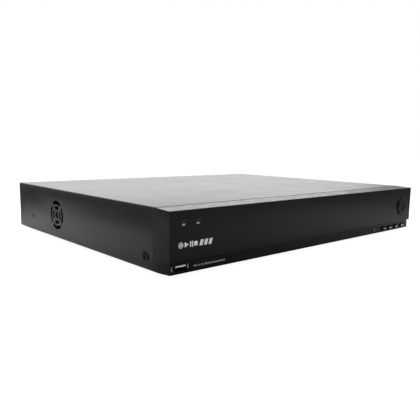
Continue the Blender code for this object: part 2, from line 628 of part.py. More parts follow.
def heatsink(base):
    """A finned block standing on `base`: its outline steps up and down once for each fin."""
    width, base_h, fin_h, fins = 38 * MM, 3 * MM, 14 * MM, 8
    pitch = width / (fins - 0.5)
    outline = [(-width / 2, 0)]
    for i in range(fins):
        left = -width / 2 + i * pitch
        outline += [(left, fin_h), (left + pitch / 2, fin_h)]
        if i < fins - 1:
            outline += [(left + pitch / 2, base_h), (left + pitch, base_h)]
    outline.append((width / 2, 0))
    prism("heatsink", outline, width, base, "front", "aluminium")


def hard_drive():
    low = at(*DRIVE_LOW)
    drive = bevel(box("hard_drive", low, low + Vector(DRIVE_SIZE), "aluminium"), 1.2 * MM)
    left, back, up = DRIVE_LOW
    length, width, height = DRIVE_SIZE
    lid = prism("drive_lid_step", rounded(length - 16 * MM, width - 16 * MM, 9 * MM), 2 * MM,
                at(left + length / 2, back + width / 2, up + height), "up")
    cut(drive, lid, box("drive_socket", at(left + length - 5 * MM, back + 25 * MM, up + 2 * MM),
                        at(left + length + 5 * MM, back + 75 * MM, up + 8 * MM)))
    for name, wall_back, outward in (("front", back - GAP, -1), ("rear", back + width + GAP, 1)):
        foot = SHEET + GAP
        profile = ((0, foot), (0, foot + 22 * MM), (SHEET, foot + 22 * MM), (SHEET, foot + SHEET),
                   (12 * MM, foot + SHEET), (12 * MM, foot))
        prism(f"drive_bracket_{name}", [(outward * u, v) for u, v in profile], 120 * MM,
              at(left + length / 2, wall_back), "across", "zinc")


def cable(name, route, radius):
    """A round cable along a smooth curve through (left, back, up) points."""
    path = smooth_path([at(*(value * MM for value in point)) for point in route], 4)
    curve = bpy.data.curves.new(name, "CURVE")
    curve.dimensions = "3D"
    curve.bevel_depth = radius
    curve.bevel_resolution = 2
    curve.use_fill_caps = True
    spline = curve.splines.new("POLY")
    spline.points.add(len(path) - 1)
    for point, place in zip(spline.points, path):
        point.co = (*place, 1)
    mesh = mesh_of(bpy.data.objects.new(name, curve))
    smooth(mesh)
    return add(name, mesh, "cable")


def drive_cables():
    cable("drive_data_cable", ((172.4, 105, 10), (184, 106, 10.5), (197, 120, 17), (199, 145, 25),
                               (196, 168, 25), (192, 181, 18), (191, 184, 9.3)), 2.0 * MM)
    cable("drive_power_cable", ((172.4, 80, 10), (188, 82, 11), (210, 100, 20), (216, 135, 29),
                                (216, 166, 29), (213, 184, 19), (212, 187, 9.3)), 2.4 * MM)


def fan():
    """A square frame with a motor plate on four struts, and a bladed rotor on the fan's axis."""
    outer_left = SHEET + GAP
    half = FAN_SIZE / 2
    middle = at(outer_left + FAN_T / 2, FAN_BACK, FAN_UP)
    frame = prism("fan_frame", rounded(FAN_SIZE, FAN_SIZE, 3 * MM), FAN_T, middle, "across",
                  "black_plastic")
    cut(frame, rod("fan_bore", half - 0.8 * MM, FAN_T * 2, middle, "left", steps=40))
    plate_t = 2.5 * MM
    plate = at(outer_left + FAN_T - plate_t / 2, FAN_BACK, FAN_UP)
    join(frame, rod("motor_plate", 9 * MM, plate_t, plate, "left", steps=32))
    for i in range(4):
        strut = box(f"strut_{i}", (-plate_t / 2, -1.4 * MM, 8 * MM), (plate_t / 2, 1.4 * MM, half - 0.4 * MM))
        strut.matrix_world = (Matrix.Translation(plate) @ Matrix.Rotation((i + 0.5) * math.pi / 2, 4, "X")
                              @ strut.matrix_world)
        join(frame, strut)
    for i, angle in enumerate((45, 135, 225, 315)):
        reach = 16 * MM * math.sqrt(2)
        turn = math.radians(angle)
        hole = middle + Vector((0, reach * math.cos(turn), reach * math.sin(turn)))
        cut(frame, rod(f"fan_hole_{i}", 1.7 * MM, FAN_T * 2, hole, "left", steps=12))
    fan_rotor(at(outer_left + 6.3 * MM, FAN_BACK, FAN_UP))


def fan_rotor(centre):
    """Hub and seven pitched blades about an axis along X."""
    hub_r, tip_r, length = 8.2 * MM, 18 * MM, 10 * MM
    rotor = rod("fan_rotor", hub_r, length, centre, "left", "black_plastic", steps=28)
    blades = 7
    for i in range(blades):
        blade = box(f"blade_{i}", (-4.4 * MM, -0.5 * MM, 7.4 * MM), (4.4 * MM, 0.5 * MM, tip_r - 0.8 * MM))
        blade.matrix_world = (Matrix.Translation(centre)
                              @ Matrix.Rotation(2 * math.pi * i / blades, 4, "X")
                              @ Matrix.Rotation(math.radians(38), 4, "Z") @ blade.matrix_world)
        join(rotor, blade)


# Rear ------------------------------------------------------------------------------------------

def port_point(key, back, up):
    return at(PORT_X[key] + CASE_W / 2, back, up)


def bnc_places():
    """Centre x and height of each camera jack, row by row."""
    for row in range(2):
        for column in range(4):
            yield PORT_X["bnc"] + (column - 1.5) * BNC_PITCH, BNC_LOW_UP + row * BNC_ROW


def bnc_jacks():
    inside = TRAY_BACK - SHEET - GAP
    box("bnc_housing", port_point("bnc", inside - 18 * MM, DECK_TOP) - Vector((32 * MM, 0, 0)),
        port_point("bnc", inside, DECK_TOP + 40 * MM) + Vector((32 * MM, 0, 0)), "black_plastic")
    start_back = inside + GAP
    reach = CASE_D + JACK_OUT - start_back
    profile = ((0, 10.2 * MM), (1.6 * MM, 10.2 * MM), (1.6 * MM, 6 * MM), (3.9 * MM, 6 * MM),
               (3.9 * MM, reach), (4.85 * MM, reach), (4.85 * MM, 3.6 * MM), (6.2 * MM, 3.0 * MM),
               (6.2 * MM, 0), (0, 0))
    for i, (x, up) in enumerate(bnc_places()):
        turned(f"bnc_jack_{i + 1}", profile, at(x + CASE_W / 2, start_back, up), "rear", "nickel", steps=16)


AUDIO_UPS = (17 * MM, 31 * MM)


def audio_block():
    inside = TRAY_BACK - SHEET - GAP
    half = Vector((6 * MM, 0, 0))
    block = box("audio_block", port_point("audio", inside - 12 * MM, DECK_TOP) - half,
                port_point("audio", inside, DECK_TOP + 30 * MM) + half, "black_plastic")
    for i, up in enumerate(AUDIO_UPS):
        sleeve = ((0, 0), (1.7 * MM, 0), (1.7 * MM, 9 * MM), (4.15 * MM, 9 * MM), (4.15 * MM, -2 * MM),
                  (0, -2 * MM))
        join(block, turned(f"audio_sleeve_{i}", sleeve, port_point("audio", inside, up), "rear", steps=16))


def socket(name, key, width, height, depth, finish, hollows):
    """A socket that stands on the main board. Each hollow is (offset, up, width, height, depth)."""
    half = Vector((width / 2, 0, 0))
    item = box(name, port_point(key, PORT_FACE - depth, DECK_TOP) - half,
               port_point(key, PORT_FACE, DECK_TOP + height) + half, finish)
    for i, (offset, up, wide, high, deep) in enumerate(hollows):
        low = port_point(key, PORT_FACE - deep, DECK_TOP + up) + Vector((offset - wide / 2, 0, 0))
        cut(item, box(f"{name}_hollow_{i}", low, low + Vector((wide, deep + 5 * MM, high))))
    return item


def tongue(item, key, up, width, height, depth, back_gap):
    """A tongue inside a hollow, joined to the hollow's end."""
    low = port_point(key, PORT_FACE - depth, DECK_TOP + up) - Vector((width / 2, 0, 0))
    join(item, box(f"{item.name}_tongue_{up / MM:.0f}", low,
                   low + Vector((width, depth - back_gap, height))))


def board_sockets():
    network = [(0, 2.5 * MM, 11.8 * MM, 8 * MM, 12 * MM), (0, 10 * MM, 6 * MM, 2 * MM, 9 * MM)]
    socket("network_socket", "network", 16 * MM, 13.5 * MM, 17 * MM, "steel", network)
    usb = [(0, up, 12.5 * MM, 5.1 * MM, 12 * MM) for up in (1.6 * MM, 9.4 * MM)]
    rear_usb = socket("usb_rear_socket", "usb", 14.6 * MM, 16 * MM, 17 * MM, "steel", usb)
    for up in (1.6 * MM, 9.4 * MM):
        tongue(rear_usb, "usb", up + 2.9 * MM, 11.1 * MM, 1.8 * MM, 13 * MM, 1.5 * MM)
    hdmi = socket("hdmi_socket", "hdmi", 15 * MM, 6 * MM, 11 * MM, "steel",
                  [(0, 0.7 * MM, 14 * MM, 4.6 * MM, 8.5 * MM)])
    tongue(hdmi, "hdmi", 2.4 * MM, 10.5 * MM, 1.2 * MM, 9.5 * MM, 1 * MM)
    ways = [((i - 1.5) * 5 * MM, 2.5 * MM, 3.2 * MM, 3.2 * MM, 7 * MM) for i in range(4)]
    socket("terminal_block", "terminal", 20.6 * MM, 10 * MM, 12 * MM, "green_plastic", ways)
    power = socket("power_jack", "power", 9.4 * MM, 11 * MM, 14 * MM, "black_plastic", [])
    centre = port_point("power", PORT_FACE, DECK_TOP + 6 * MM)
    cut(power, tube("power_bore", 1.0 * MM, 3.1 * MM, 18 * MM, centre, "rear", steps=20))


def d_outline(width, height):
    """A D-shaped outline: the lower edge is shorter than the upper one."""
    half, slope = width / 2, 1.4 * MM
    return ((half, height / 2), (-half, height / 2), (-half + slope, -height / 2), (half - slope, -height / 2))


VGA_UP, VGA_W, VGA_H, VGA_POST = DECK_TOP + 6.3 * MM, 16.9 * MM, 8.3 * MM, 12.5 * MM


def vga_socket():
    inside = TRAY_BACK - SHEET - GAP
    half = Vector((15.5 * MM, 0, 0))
    body = box("vga_socket", port_point("vga", inside - 12 * MM, DECK_TOP) - half,
               port_point("vga", inside, DECK_TOP + 12.6 * MM) + half, "blue_plastic")
    join(body, prism("vga_shell", d_outline(VGA_W, VGA_H), 10 * MM,
                     port_point("vga", inside + 2 * MM, VGA_UP), "front"))
    for i, side in enumerate((-1, 1)):
        post = port_point("vga", inside + 2 * MM, VGA_UP) + Vector((side * VGA_POST, 0, 0))
        join(body, prism(f"vga_post_{i}", circle(2.7 * MM, 6), 9 * MM, post, "front"))


SWITCH_UP, SWITCH_AXIS_BACK = 28 * MM, CASE_D - 2.6 * MM


def power_switch():
    """A panel-mounted rocker switch: the rocker turns about an upright axis inside its frame."""
    flange_front, flange_t = TRAY_BACK + GAP, 1.6 * MM
    frame = prism("switch_frame", rounded(19 * MM, 13 * MM, 1 * MM), 14 * MM,
                  port_point("switch", flange_front - 6 * MM, SWITCH_UP), "front", "black_plastic")
    join(frame, prism("switch_flange", rounded(21.5 * MM, 15.5 * MM, 1.5 * MM), flange_t,
                      port_point("switch", flange_front + flange_t / 2, SWITCH_UP), "front"))
    cut(frame, prism("switch_hollow", rounded(17.2 * MM, 11 * MM, 0.5 * MM), 16 * MM,
                     port_point("switch", flange_front - 3 * MM, SWITCH_UP), "front"))
    shape = ((0, 1.9), (-7.8, 3.4), (-7.8, -1.5), (-4, -4.5), (4, -4.5), (7.8, -1.5), (7.8, 3.4))
    rocker = prism("power_rocker", [(u * MM, v * MM) for u, v in shape], 10.2 * MM,
                   port_point("switch", SWITCH_AXIS_BACK, SWITCH_UP), "up", "black_plastic")
    rocker.rotation_euler.z = -ROCKER_TILT


def panel_cutters():
    """The rear wall's openings, each its connector's outline with the usual clearance."""
    wall, depth = TRAY_BACK - SHEET / 2, 5 * MM
    clear = 2 * GAP
    tools = []
    for i, (x, up) in enumerate(bnc_places()):
        tools.append(rod(f"bnc_hole_{i}", 6.5 * MM, depth, at(x + CASE_W / 2, wall, up), "rear", steps=20))
    for i, up in enumerate(AUDIO_UPS):
        tools.append(rod(f"audio_hole_{i}", 4.5 * MM, depth, port_point("audio", wall, up), "rear", steps=20))
    for key, width, height in (("network", 16, 13.5), ("usb", 14.6, 16), ("hdmi", 15, 6),
                               ("terminal", 20.6, 10), ("power", 9.4, 11)):
        outline = rounded(width * MM + clear, height * MM + clear, 0.4 * MM, 1)
        tools.append(prism(f"{key}_hole", outline, depth,
                           port_point(key, wall, DECK_TOP + height * MM / 2), "front"))
    tools.append(prism("vga_hole", d_outline(VGA_W + clear, VGA_H + clear), depth,
                       port_point("vga", wall, VGA_UP), "front"))
    for i, side in enumerate((-1, 1)):
        post = port_point("vga", wall, VGA_UP) + Vector((side * VGA_POST, 0, 0))
        tools.append(rod(f"vga_post_hole_{i}", 3.1 * MM, depth, post, "rear", steps=16))
    tools.append(prism("switch_hole", rounded(19.6 * MM, 13.6 * MM, 1 * MM), depth,
                       port_point("switch", wall, SWITCH_UP), "front"))
    return tools


for build in (top_cover, chassis_tray, feet, screws, front_bezel, front_plate, led_lenses, nav_keys,
              function_keys, usb_front, front_electronics, front_ribbon, main_board, hard_drive,
              drive_cables, fan, bnc_jacks, audio_block, board_sockets, vga_socket, power_switch):
    build()
bpy.context.view_layer.update()
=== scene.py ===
import json
import math
import random

import bmesh
import bpy
from mathutils import Matrix, Vector


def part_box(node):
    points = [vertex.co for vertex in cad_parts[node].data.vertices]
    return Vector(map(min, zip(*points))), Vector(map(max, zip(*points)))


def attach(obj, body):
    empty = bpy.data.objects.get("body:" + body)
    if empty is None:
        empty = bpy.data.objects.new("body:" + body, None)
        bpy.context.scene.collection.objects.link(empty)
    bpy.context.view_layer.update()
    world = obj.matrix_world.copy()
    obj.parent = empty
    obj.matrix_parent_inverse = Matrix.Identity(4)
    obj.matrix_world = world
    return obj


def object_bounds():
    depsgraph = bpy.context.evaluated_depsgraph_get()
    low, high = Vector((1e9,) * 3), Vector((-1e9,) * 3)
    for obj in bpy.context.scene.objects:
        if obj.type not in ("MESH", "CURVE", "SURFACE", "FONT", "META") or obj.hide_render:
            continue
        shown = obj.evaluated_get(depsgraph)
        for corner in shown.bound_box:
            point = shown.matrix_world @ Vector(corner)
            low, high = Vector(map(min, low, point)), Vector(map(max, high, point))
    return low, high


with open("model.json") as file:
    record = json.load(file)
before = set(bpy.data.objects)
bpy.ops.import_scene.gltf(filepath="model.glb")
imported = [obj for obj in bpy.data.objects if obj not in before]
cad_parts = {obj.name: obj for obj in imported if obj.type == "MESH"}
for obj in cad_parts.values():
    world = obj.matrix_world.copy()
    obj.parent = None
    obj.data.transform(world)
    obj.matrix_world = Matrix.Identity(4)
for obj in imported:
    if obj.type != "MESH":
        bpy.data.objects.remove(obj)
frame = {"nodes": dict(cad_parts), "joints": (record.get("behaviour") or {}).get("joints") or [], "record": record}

MM = 0.001
CAD_LOW, CAD_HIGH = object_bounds()
NODES = frame["nodes"]

PLATE_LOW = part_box("front_plate")[0]
LEFT, FRONT = PLATE_LOW.x, PLATE_LOW.y
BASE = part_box("top_cover")[0].z     # underside of the case
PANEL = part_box("chassis_tray")[1].y     # outer face of the rear wall
STRIP = FRONT + 2 * MM              # the set-back strip under the plate
PRINT = 0.04 * MM                   # thickness of printed marks
SHARP = math.radians(35)            # faces that meet at more than this keep a sharp edge
USB_CONTACTS = (4, 2.4 * MM, 1.1 * MM, 7 * MM)      # count, pitch, width and length
ROUNDED = {"front_plate": 0.2, "hard_drive": 0.4, "heatsink": 0.15, "processor": 0.2,
           "bnc_housing": 0.4, "power_rocker": 0.25}       # CAD nodes with softened edges, in mm


def middle(node):
    low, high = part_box(node)
    return (low + high) / 2


# Camera, stage and light -------------------------------------------------------------------------

def photo_camera():
    """At the photograph's angle: 42 degrees round to the left and 8 degrees down, slightly rolled."""
    turn, down, roll = math.radians(41.62), math.radians(7.71), math.radians(0.89)
    ahead = Vector((math.sin(turn) * math.cos(down), math.cos(turn) * math.cos(down), -math.sin(down)))
    data = bpy.data.cameras.new("camera")
    data.sensor_width, data.lens = 36.0, 41.35
    camera = bpy.data.objects.new("camera", data)
    bpy.context.scene.collection.objects.link(camera)
    camera.location = (LEFT - 237.1 * MM, FRONT - 316.9 * MM, BASE + 111.0 * MM)
    camera.rotation_mode = "QUATERNION"
    level = ahead.to_track_quat("-Z", "Y")
    camera.rotation_quaternion = level @ Matrix.Rotation(roll, 3, "Z").to_quaternion()
    bpy.context.scene.camera = camera


def studio():
    """Bright behind the object, dim at its sides, dark behind the camera, and soft lights over it."""
    world = bpy.data.worlds.new("studio")
    bpy.context.scene.world = world
    world.use_nodes = True
    tree = world.node_tree
    tree.nodes.clear()
    place = tree.nodes.new("ShaderNodeTexCoord")
    toward = tree.nodes.new("ShaderNodeVectorMath")
    toward.operation = "DOT_PRODUCT"
    bright = math.radians(38)
    toward.inputs[1].default_value = (math.sin(bright), math.cos(bright), 0)
    tree.links.new(place.outputs["Generated"], toward.inputs[0])
    spread = tree.nodes.new("ShaderNodeMapRange")
    spread.inputs["From Min"].default_value = -1.0
    tree.links.new(toward.outputs["Value"], spread.inputs["Value"])
    ramp = tree.nodes.new("ShaderNodeValToRGB")
    stops = ramp.color_ramp.elements
    levels = ((0.0, 0.03), (0.36, 0.06), (0.60, 0.22), (0.90, 0.23), (0.95, 0.40), (0.967, 1.0))
    for where, _ in levels[1:-1]:
        stops.new(where)
    for stop, (where, level) in zip(stops, levels):
        stop.position = where
        stop.color = (level, level, level, 1)
    tree.links.new(spread.outputs["Result"], ramp.inputs["Fac"])
    height = tree.nodes.new("ShaderNodeSeparateXYZ")
    tree.links.new(place.outputs["Generated"], height.inputs["Vector"])
    rise = tree.nodes.new("ShaderNodeMapRange")
    for socket, value in (("From Min", 0.13), ("From Max", 0.32), ("To Min", 1.25), ("To Max", 1.75)):
        rise.inputs[socket].default_value = value
    tree.links.new(height.outputs["Z"], rise.inputs["Value"])
    lit = tree.nodes.new("ShaderNodeBackground")
    tree.links.new(rise.outputs["Result"], lit.inputs["Strength"])
    tree.links.new(ramp.outputs["Color"], lit.inputs["Color"])
    pale = tree.nodes.new("ShaderNodeBackground")
    pale.inputs["Color"].default_value = (1, 1, 1, 1)
    rays = tree.nodes.new("ShaderNodeLightPath")
    mix = tree.nodes.new("ShaderNodeMixShader")
    tree.links.new(rays.outputs["Is Camera Ray"], mix.inputs["Fac"])
    tree.links.new(lit.outputs["Background"], mix.inputs[1])
    tree.links.new(pale.outputs["Background"], mix.inputs[2])
    out = tree.nodes.new("ShaderNodeOutputWorld")
    tree.links.new(mix.outputs["Shader"], out.inputs["Surface"])

    soft_light("overhead", (-0.1, 0.25, 1.3), (0, 0.1, 0), 1.4, 1.4, 6.0)
    soft_light("key", (-0.6, -1.4, 0.9), (0, -0.17, 0.03), 1.6, 1.2, 14.0).visible_glossy = False
    for name, x, y, width, depth, energy in (("left_floor", -0.245, 0.12, 0.08, 0.32, 2.1),
                                             ("front_floor", 0.22, -0.27, 0.40, 0.08, 0.8),
                                             ("right_floor", 0.35, 0.14, 0.10, 0.32, 3.0),
                                             ("rear_floor", 0.0, 0.33, 0.40, 0.10, 2.0)):
        soft_light(name, (x, y, 0.25), (x, y, 0), width, depth, energy).visible_glossy = False


def soft_light(name, place, target, width, depth, energy):
    """A rectangular lamp. One that points straight down keeps its width along X."""
    data = bpy.data.lights.new(name, "AREA")
    data.shape, data.size, data.size_y, data.energy = "RECTANGLE", width, depth, energy
    lamp = bpy.data.objects.new(name, data)
    lamp.location = place
    away = Vector(place) - Vector(target)
    if away.x or away.y:
        lamp.rotation_mode = "QUATERNION"
        lamp.rotation_quaternion = away.to_track_quat("Z", "Y")
    lamp.visible_camera = False
    bpy.context.scene.collection.objects.link(lamp)
    return lamp


def floor():
    """A wide plain floor, near white."""
    bm = bmesh.new()
    bmesh.ops.create_grid(bm, x_segments=8, y_segments=8, size=6.0)
    mesh = bpy.data.meshes.new("floor")
    bm.to_mesh(mesh)
    bm.free()
    ground = bpy.data.objects.new("floor", mesh)
    ground.location.z = CAD_LOW.z - 0.1 * MM
    bpy.context.scene.collection.objects.link(ground)
    material = bpy.data.materials.new("floor_paper")
    material.use_nodes = True
    tree = material.node_tree
    shader = tree.nodes["Principled BSDF"]
    shader.inputs["Base Color"].default_value = (0.20, 0.20, 0.20, 1)
    shader.inputs["Roughness"].default_value = 0.8
    shader.inputs["Specular IOR Level"].default_value = 0.1
    shader.inputs["Emission Color"].default_value = (1, 1, 1, 1)
    rays = tree.nodes.new("ShaderNodeLightPath")
    lift = tree.nodes.new("ShaderNodeMath")
    lift.operation = "MULTIPLY"
    lift.inputs[1].default_value = 0.95
    tree.links.new(rays.outputs["Is Camera Ray"], lift.inputs[0])
    tree.links.new(lift.outputs["Value"], shader.inputs["Emission Strength"])
    mesh.materials.append(material)


# Materials ---------------------------------------------------------------------------------------

class Finish:
    """A Principled material and short calls for the nodes that drive it, in object space."""

    def __init__(self, name, colour, roughness, metallic=0.0, **fixed):
        self.material = bpy.data.materials.new(name)
        self.material.use_nodes = True
        self.tree = self.material.node_tree
        self.shader = self.tree.nodes["Principled BSDF"]
        self.set("Base Color", (*colour, 1))
        self.set("Roughness", roughness)
        self.set("Metallic", metallic)
        for key, value in fixed.items():
            self.set(key.replace("_", " "), value)
        self.place = self.tree.nodes.new("ShaderNodeTexCoord").outputs["Object"]
        self.normal = None

    def set(self, socket, value):
        """A number or colour on the shader's own socket, or a link to it."""
        if isinstance(value, bpy.types.NodeSocket):
            self.tree.links.new(value, self.shader.inputs[socket])
        else:
            self.shader.inputs[socket].default_value = value

    def node(self, kind, out, inputs, **settings):
        made = self.tree.nodes.new(kind)
        for key, value in settings.items():
            setattr(made, key, value)
        for key, value in inputs.items():
            if isinstance(value, bpy.types.NodeSocket):
                self.tree.links.new(value, made.inputs[key])
            else:
                made.inputs[key].default_value = value
        return made.outputs[out]

    def stretched(self, scale):
        return self.node("ShaderNodeMapping", "Vector", {"Vector": self.place, "Scale": scale})

    def noise(self, scale, detail=2.0, place=None):
        return self.node("ShaderNodeTexNoise", "Fac",
                         {"Vector": place or self.place, "Scale": scale, "Detail": detail})

    def cells(self, scale, out="Distance"):
        return self.node("ShaderNodeTexVoronoi", out, {"Vector": self.place, "Scale": scale})

    def remap(self, value, low, high, new_low=0.0, new_high=1.0):
        return self.node("ShaderNodeMapRange", "Result",
                         {"Value": value, "From Min": low, "From Max": high,
                          "To Min": new_low, "To Max": new_high})

    def math(self, operation, one, two=0.0):
        return self.node("ShaderNodeMath", "Value", {0: one, 1: two}, operation=operation)

    def blend(self, factor, one, two):
        """Mixes two colours."""
        one = (*one, 1) if isinstance(one, tuple) else one
        two = (*two, 1) if isinstance(two, tuple) else two
        mix = self.tree.nodes.new("ShaderNodeMix")
        mix.data_type = "RGBA"
        for key, value in ((0, factor), (6, one), (7, two)):
            if isinstance(value, bpy.types.NodeSocket):
                self.tree.links.new(value, mix.inputs[key])
            else:
                mix.inputs[key].default_value = value
        return mix.outputs[2]

    def bump(self, height, strength, depth):
        inputs = {"Height": height, "Strength": strength, "Distance": depth}
        if self.normal:
            inputs["Normal"] = self.normal
        self.normal = self.node("ShaderNodeBump", "Normal", inputs)
        self.set("Normal", self.normal)

    def edges(self, radius):
        """1 on worn edges and corners, 0 on flat faces, broken up by noise."""
        rounded = self.node("ShaderNodeBevel", "Normal", {"Radius": radius}, samples=4)
        flat = self.tree.nodes.new("ShaderNodeNewGeometry").outputs["Normal"]
        dot = self.node("ShaderNodeVectorMath", "Value", {0: rounded, 1: flat}, operation="DOT_PRODUCT")
        edge = self.remap(dot, 0.99, 0.80)
        patchy = self.remap(self.noise(260.0, 4.0), 0.38, 0.66)
        return self.math("MULTIPLY", edge, patchy)


def painted(name, colour, worn, roughness):
    """Satin powder coat: fine orange peel, faint smudges, and edges rubbed a little paler."""
    f = Finish(name, colour, roughness)
    smudge = f.remap(f.noise(22.0, 5.0), 0.35, 0.75)
    grain = f.noise(1400.0, 2.0)
    wear = f.edges(0.7 * MM)
    tone = f.blend(smudge, colour, tuple(c * 1.25 for c in colour))
    f.set("Base Color", f.blend(wear, tone, worn))
    varied = f.math("ADD", f.remap(smudge, 0, 1, roughness - 0.01, roughness + 0.02),
                    f.remap(grain, 0.3, 0.7, -0.03, 0.03))
    f.set("Roughness", f.math("ADD", varied, f.remap(wear, 0, 1, 0, 0.12)))
    f.bump(f.noise(420.0, 1.0), 0.08, 0.08 * MM)
    f.bump(grain, 0.10, 0.05 * MM)
    return f.material


def moulded(name, colour, roughness, grain_scale=2400.0, specular=0.5):
    """Moulded plastic with a fine spark-eroded grain."""
    f = Finish(name, colour, roughness, Specular_IOR_Level=specular)
    cloud = f.noise(30.0, 4.0)
    wear = f.edges(0.35 * MM)
    tone = f.blend(f.remap(cloud, 0.3, 0.7), colour, tuple(c * 1.25 + 0.001 for c in colour))
    f.set("Base Color", f.blend(wear, tone, tuple(min(1.0, c * 2.0 + 0.02) for c in colour)))
    f.set("Roughness", f.remap(f.noise(140.0, 3.0), 0.3, 0.7, roughness - 0.05, roughness + 0.07))
    f.bump(f.cells(grain_scale), 0.08, 0.03 * MM)
    return f.material


def glossy_plate():
    """Hard dark gloss with hairline wipe marks, finger smudges and a few dust specks."""
    colour = (0.0020, 0.0022, 0.0024)
    f = Finish("gloss_plate", colour, 0.12)
    wipes = f.noise(900.0, 2.0, f.stretched((0.06, 1.0, 1.0)))
    smudge = f.remap(f.noise(26.0, 6.0), 0.50, 0.72)
    dust = f.remap(f.cells(420.0), 0.035, 0.02)
    f.set("Base Color", f.blend(dust, f.blend(smudge, colour, (0.0040, 0.0042, 0.0044)), (0.04, 0.04, 0.04)))
    rough = f.math("ADD", f.remap(wipes, 0.35, 0.7, 0.09, 0.14), f.remap(smudge, 0, 1, 0, 0.10))
    f.set("Roughness", rough)
    f.bump(wipes, 0.03, 0.02 * MM)
    f.bump(f.noise(16.0, 1.0), 0.25, 0.08 * MM)
    return f.material


def zinc_sheet():
    """Zinc-plated steel: faint spangle, rolling lines and dull patches."""
    f = Finish("zinc_sheet", (0.52, 0.53, 0.53), 0.36, 1.0)
    spangle = f.cells(260.0, "Color")
    shade = f.node("ShaderNodeSeparateColor", "Red", {"Color": spangle})
    lines = f.noise(1600.0, 2.0, f.stretched((0.04, 1.0, 1.0)))
    dull = f.remap(f.noise(24.0, 5.0), 0.45, 0.7)
    tone = f.blend(shade, (0.54, 0.55, 0.55), (0.60, 0.61, 0.61))
    f.set("Base Color", f.blend(f.math("MULTIPLY", dull, 0.2), tone, (0.44, 0.44, 0.43)))
    f.set("Roughness", f.math("ADD", f.remap(shade, 0, 1, 0.32, 0.36), f.remap(lines, 0.3, 0.7, 0, 0.10)))
    f.bump(lines, 0.10, 0.02 * MM)
    return f.material


def turned_metal(name, colour, roughness):
    """Plated turned metal: fine tool marks and tarnish."""
    f = Finish(name, colour, roughness, 1.0)
    marks = f.noise(5200.0, 1.0, f.stretched((0.5, 1.0, 0.5)))
    tarnish = f.remap(f.noise(320.0, 4.0), 0.5, 0.75)
    f.set("Base Color", f.blend(tarnish, colour, tuple(c * 0.72 for c in colour)))
    f.set("Roughness", f.math("ADD", f.remap(marks, 0.3, 0.7, roughness - 0.04, roughness + 0.08),
                              f.remap(tarnish, 0, 1, 0, 0.10)))
    f.bump(marks, 0.08, 0.02 * MM)
    return f.material


def rubber():
    """Dusty matt rubber."""
    f = Finish("foot_rubber", (0.022, 0.022, 0.022), 0.8)
    f.set("Roughness", f.remap(f.noise(300.0, 3.0), 0.3, 0.7, 0.70, 0.90))
    dust = f.remap(f.noise(90.0, 5.0), 0.5, 0.8)
    f.set("Base Color", f.blend(dust, (0.020, 0.020, 0.020), (0.045, 0.044, 0.042)))
    f.bump(f.cells(1500.0), 0.25, 0.08 * MM)
    return f.material


def lens():
    """Milky light pipe: pale and slightly cloudy."""
    f = Finish("lens", (0.40, 0.41, 0.42), 0.22)
    cloud = f.remap(f.noise(500.0, 2.0), 0.3, 0.7)
    f.set("Base Color", f.blend(cloud, (0.36, 0.37, 0.38), (0.44, 0.45, 0.46)))
    f.set("Roughness", f.remap(f.noise(700.0, 2.0), 0.3, 0.7, 0.18, 0.28))
    f.bump(f.noise(900.0, 1.0), 0.05, 0.03 * MM)
    return f.material


def ink(name, colour):
    """Screen-printed ink: slightly uneven cover and a fine mesh."""
    f = Finish(name, colour, 0.55)
    thin = f.remap(f.noise(900.0, 3.0), 0.40, 0.75)
    f.set("Base Color", f.blend(thin, colour, tuple(c * 0.82 for c in colour)))
    f.set("Roughness", f.remap(f.noise(1500.0, 2.0), 0.3, 0.7, 0.48, 0.62))
    f.bump(f.cells(3000.0), 0.10, 0.01 * MM)
    return f.material


def circuit_board():
    """Green solder resist over copper lines, with scattered pads."""
    f = Finish("circuit_board", (0.010, 0.085, 0.035), 0.34)
    track = f.node("ShaderNodeTexBrick", "Fac",
                   {"Vector": f.place, "Scale": 60.0, "Mortar Size": 0.05, "Brick Width": 0.7,
                    "Row Height": 0.12})
    pads = f.remap(f.cells(160.0), 0.14, 0.11)
    tone = f.blend(track, (0.008, 0.070, 0.028), (0.016, 0.130, 0.050))
    f.set("Base Color", f.blend(pads, tone, (0.62, 0.58, 0.45)))
    f.set("Roughness", f.remap(f.noise(400.0, 2.0), 0.3, 0.7, 0.28, 0.42))
    f.bump(track, 0.3, 0.03 * MM)
    return f.material


def cast_metal():
    """Rough cast alloy of the hard drive's body."""
    f = Finish("drive_casting", (0.42, 0.43, 0.45), 0.42, 1.0)
    f.set("Roughness", f.remap(f.noise(600.0, 4.0), 0.3, 0.7, 0.34, 0.52))
    f.bump(f.noise(1500.0, 3.0), 0.3, 0.05 * MM)
    return f.material


